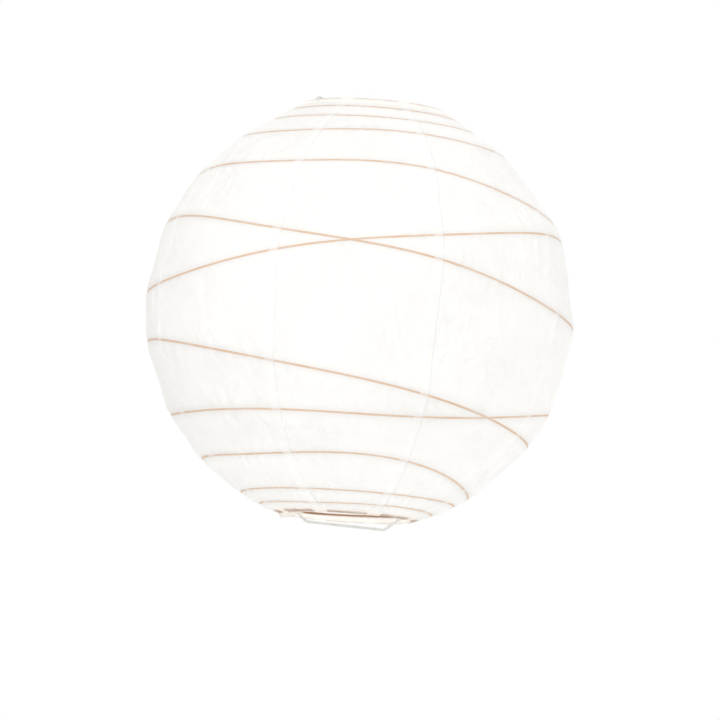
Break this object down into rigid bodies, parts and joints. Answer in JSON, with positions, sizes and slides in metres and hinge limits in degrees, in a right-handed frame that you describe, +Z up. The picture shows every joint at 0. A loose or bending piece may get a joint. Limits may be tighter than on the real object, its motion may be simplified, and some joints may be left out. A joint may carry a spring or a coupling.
{
  "type": "accordion paper lantern",
  "caption": "Round paper globe lantern shade with free-form wire ribs, held open by a sprung wire expander and folding flat towards its top ring.",
  "frame": {"origin": "centre of the fitter ring's bore, where a lampholder's collar clamps the lantern", "axes": "+Z up along the bore; X in the plane of the expander wire"},
  "size_m": [0.45, 0.45, 0.4481],
  "materials": {
    "shade_paper": "thin white paper, translucent, finely creased",
    "hem_paper": "doubled paper folded over a wire, warm brown where the glue shows",
    "rib_wire": "thin wire wrapped in brown paper, dull",
    "rim_wire": "wire, brown, dull",
    "expander_steel": "spring wire, white powder coat, satin",
    "fitter_steel": "stamped steel ring, white powder coat, satin"
  },
  "bodies": {
    "hanging_frame": {"fitter_ring": "fitter_steel", "expander_wire": "expander_steel", "top_ring": "rim_wire", "top_hem": "hem_paper", "paper_gore_1": "shade_paper", "paper_gore_2": "shade_paper", "paper_gore_3": "shade_paper", "paper_gore_4": "shade_paper", "paper_gore_5": "shade_paper", "paper_gore_6": "shade_paper", "paper_gore_7": "shade_paper", "paper_gore_8": "shade_paper"},
    "bottom_rim": {"bottom_ring": "rim_wire", "bottom_hem": "hem_paper"},
    "rib_01_hoop": {"rib_01": "rib_wire"},
    "rib_02_hoop": {"rib_02": "rib_wire"},
    "rib_03_hoop": {"rib_03": "rib_wire"},
    "rib_04_hoop": {"rib_04": "rib_wire"},
    "rib_05_hoop": {"rib_05": "rib_wire"},
    "rib_06_hoop": {"rib_06": "rib_wire"},
    "rib_07_hoop": {"rib_07": "rib_wire"},
    "rib_08_hoop": {"rib_08": "rib_wire"},
    "rib_09_hoop": {"rib_09": "rib_wire"},
    "rib_10_hoop": {"rib_10": "rib_wire"},
    "rib_11_hoop": {"rib_11": "rib_wire"}
  },
  "joints": [
    {"name": "shade_fold", "type": "slide", "parent": "hanging_frame", "child": "bottom_rim", "axis": [0, 0, 1], "range_m": [0, 0.39464], "deforming": ["paper_gore_1", "paper_gore_2", "paper_gore_3", "paper_gore_4", "paper_gore_5", "paper_gore_6", "paper_gore_7", "paper_gore_8", "expander_wire"]},
    {"name": "rib_01_lift", "type": "slide", "parent": "hanging_frame", "child": "rib_01_hoop", "axis": [0, 0, 1], "range_m": [0, 0.00882]},
    {"name": "rib_02_lift", "type": "slide", "parent": "hanging_frame", "child": "rib_02_hoop", "axis": [0, 0, 1], "range_m": [0, 0.02072]},
    {"name": "rib_03_lift", "type": "slide", "parent": "hanging_frame", "child": "rib_03_hoop", "axis": [0, 0, 1], "range_m": [0, 0.03808]},
    {"name": "rib_04_lift", "type": "hinge", "parent": "hanging_frame", "child": "rib_04_hoop", "pos_m": [-0.41729, -0.35014, -0.1589], "axis": [0.6428, -0.766, 0], "range_deg": [0, 10.5]},
    {"name": "rib_05_lift", "type": "hinge", "parent": "hanging_frame", "child": "rib_05_hoop", "pos_m": [0.57469, -0.59511, -0.1293], "axis": [0.7193, 0.6947, 0], "range_deg": [0, 11]},
    {"name": "rib_06_lift", "type": "hinge", "parent": "hanging_frame", "child": "rib_06_hoop", "pos_m": [-0.83471, 0.05837, -0.1247], "axis": [-0.0698, -0.9976, 0], "range_deg": [0, 11.5]},
    {"name": "rib_07_lift", "type": "hinge", "parent": "hanging_frame", "child": "rib_07_hoop", "pos_m": [-1.39105, 0.61933, -0.06904], "axis": [-0.4067, -0.9135, 0], "range_deg": [0, 10.5]},
    {"name": "rib_08_lift", "type": "hinge", "parent": "hanging_frame", "child": "rib_08_hoop", "pos_m": [2.76168, 1.34696, -0.06137], "axis": [-0.4384, 0.8988, 0], "range_deg": [0, 5.5]},
    {"name": "rib_09_lift", "type": "hinge", "parent": "hanging_frame", "child": "rib_09_hoop", "pos_m": [-2.29417, -2.54794, -0.02927], "axis": [0.7431, -0.6691, 0], "range_deg": [0, 6]},
    {"name": "rib_10_lift", "type": "slide", "parent": "hanging_frame", "child": "rib_10_hoop", "axis": [0, 0, 1], "range_m": [0, 0.37802]},
    {"name": "rib_11_lift", "type": "slide", "parent": "hanging_frame", "child": "rib_11_hoop", "axis": [0, 0, 1], "range_m": [0, 0.38785]}
  ],
  "couplings": [
    {"joint": "rib_01_lift", "follows": "shade_fold", "ratio": 0.022351},
    {"joint": "rib_02_lift", "follows": "shade_fold", "ratio": 0.052497},
    {"joint": "rib_03_lift", "follows": "shade_fold", "ratio": 0.096493},
    {"joint": "rib_04_lift", "follows": "shade_fold", "rad_per_m": 0.46437},
    {"joint": "rib_05_lift", "follows": "shade_fold", "rad_per_m": 0.48648},
    {"joint": "rib_06_lift", "follows": "shade_fold", "rad_per_m": 0.50859},
    {"joint": "rib_07_lift", "follows": "shade_fold", "rad_per_m": 0.46437},
    {"joint": "rib_08_lift", "follows": "shade_fold", "rad_per_m": 0.24324},
    {"joint": "rib_09_lift", "follows": "shade_fold", "rad_per_m": 0.26535},
    {"joint": "rib_10_lift", "follows": "shade_fold", "ratio": 0.95787},
    {"joint": "rib_11_lift", "follows": "shade_fold", "ratio": 0.98278}
  ]
}
